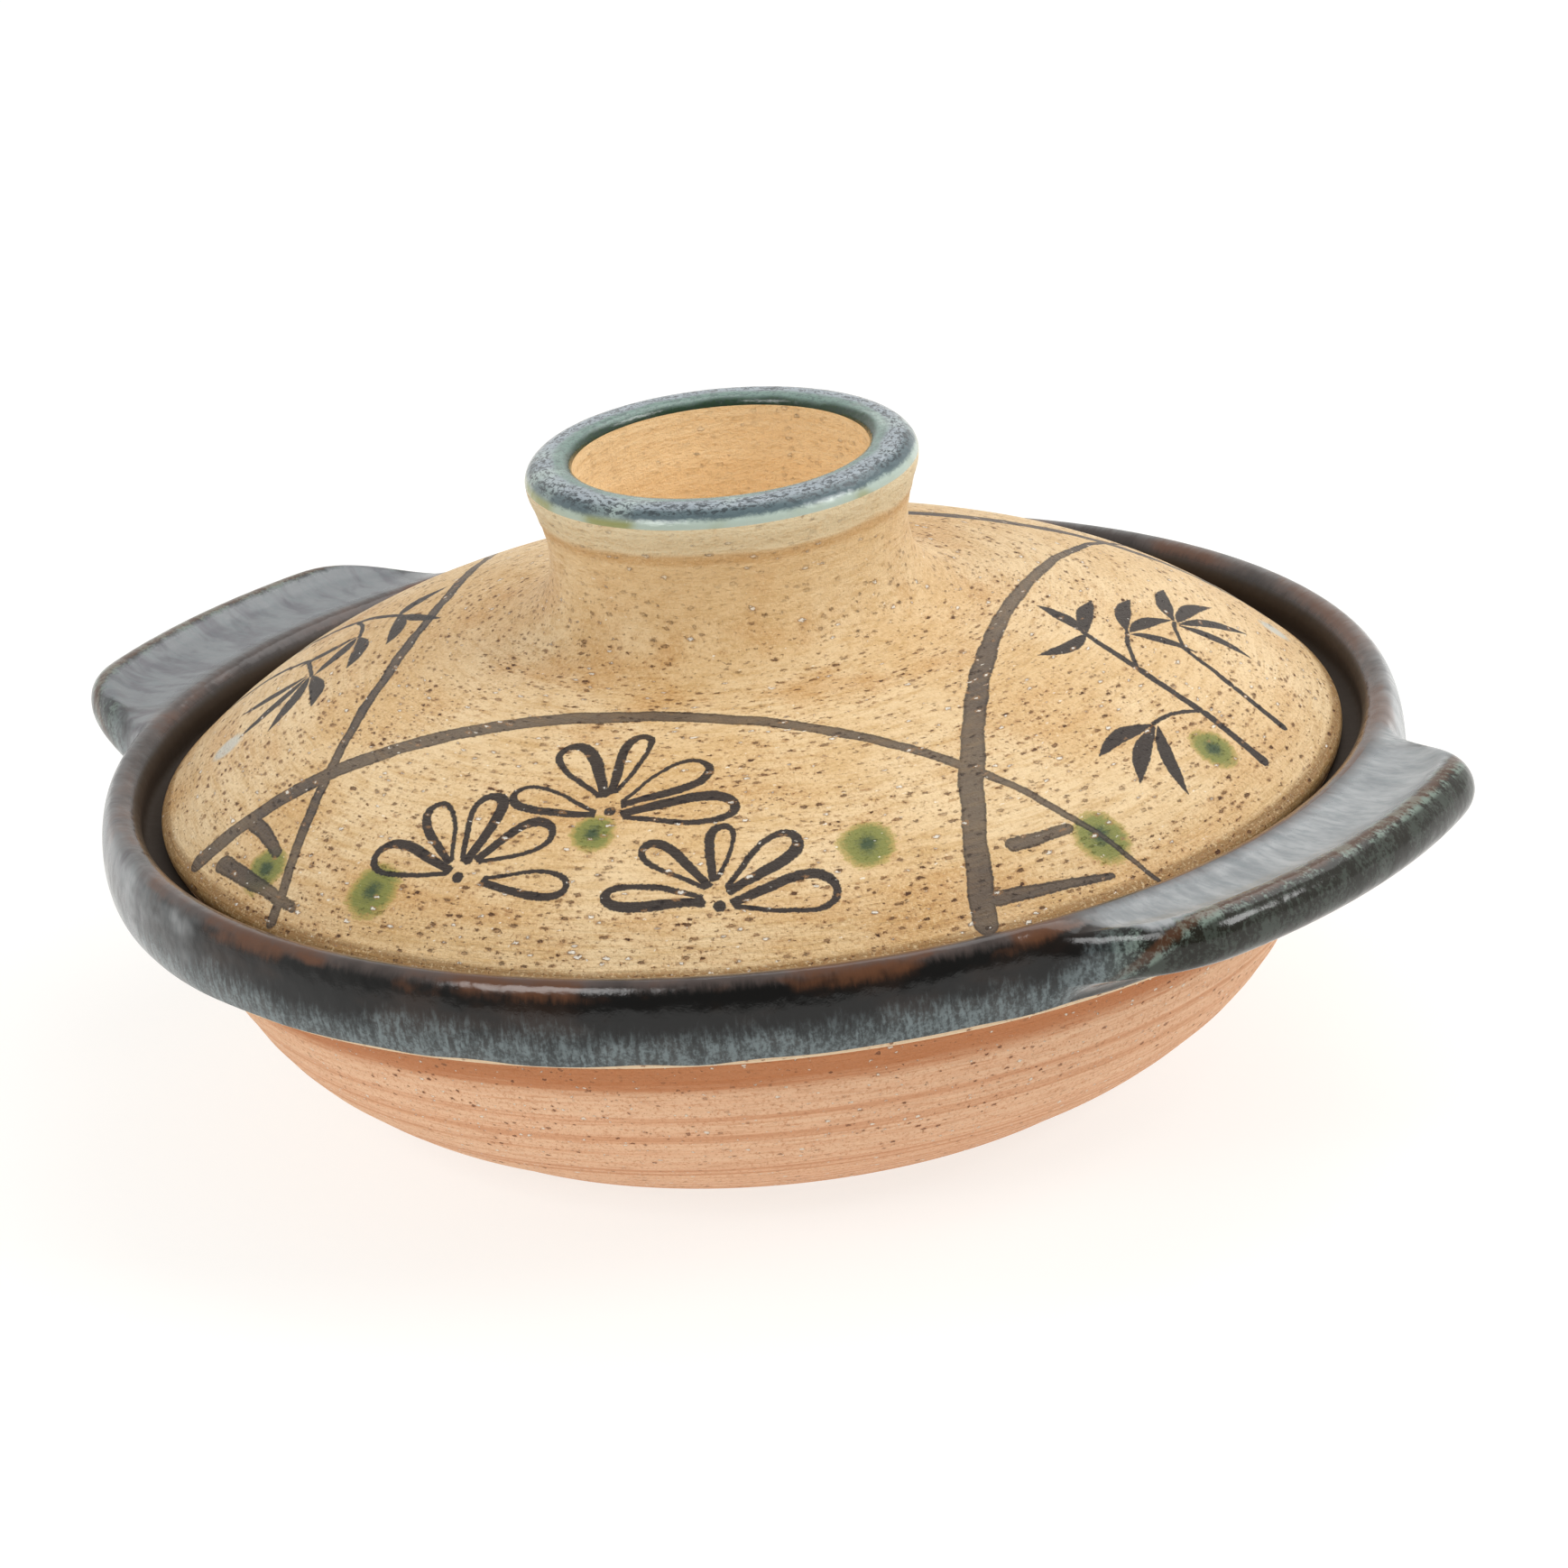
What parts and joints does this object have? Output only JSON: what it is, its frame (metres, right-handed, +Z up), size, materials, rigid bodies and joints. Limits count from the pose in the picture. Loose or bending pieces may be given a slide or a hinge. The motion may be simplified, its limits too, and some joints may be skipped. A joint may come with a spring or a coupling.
{
  "type": "donabe clay pot",
  "caption": "Wide, low stoneware cooking pot with rim lugs and a recessed domed lid that lifts off by its ring knob.",
  "frame": {"origin": "centre of the pot on the surface that it stands on", "axes": "+Z up along the pot's axis, +X towards the right lug"},
  "size_m": [0.2568, 0.2208, 0.109],
  "materials": {
    "clay": "matt",
    "dark_glaze": "gloss",
    "amber_glaze": "satin",
    "green_glaze": "gloss"
  },
  "bodies": {
    "pot": {"pot_bowl": "clay", "glaze_rim": "dark_glaze", "glaze_inside": "dark_glaze", "lug_left": "dark_glaze", "lug_right": "dark_glaze"},
    "lid": {"lid_dome": "amber_glaze", "lid_knob": "amber_glaze", "glaze_knob": "green_glaze"}
  },
  "joints": [
    {"name": "lid_lift", "type": "slide", "parent": "pot", "child": "lid", "axis": [0, 0, 1], "range_m": [0, 0.12]}
  ]
}
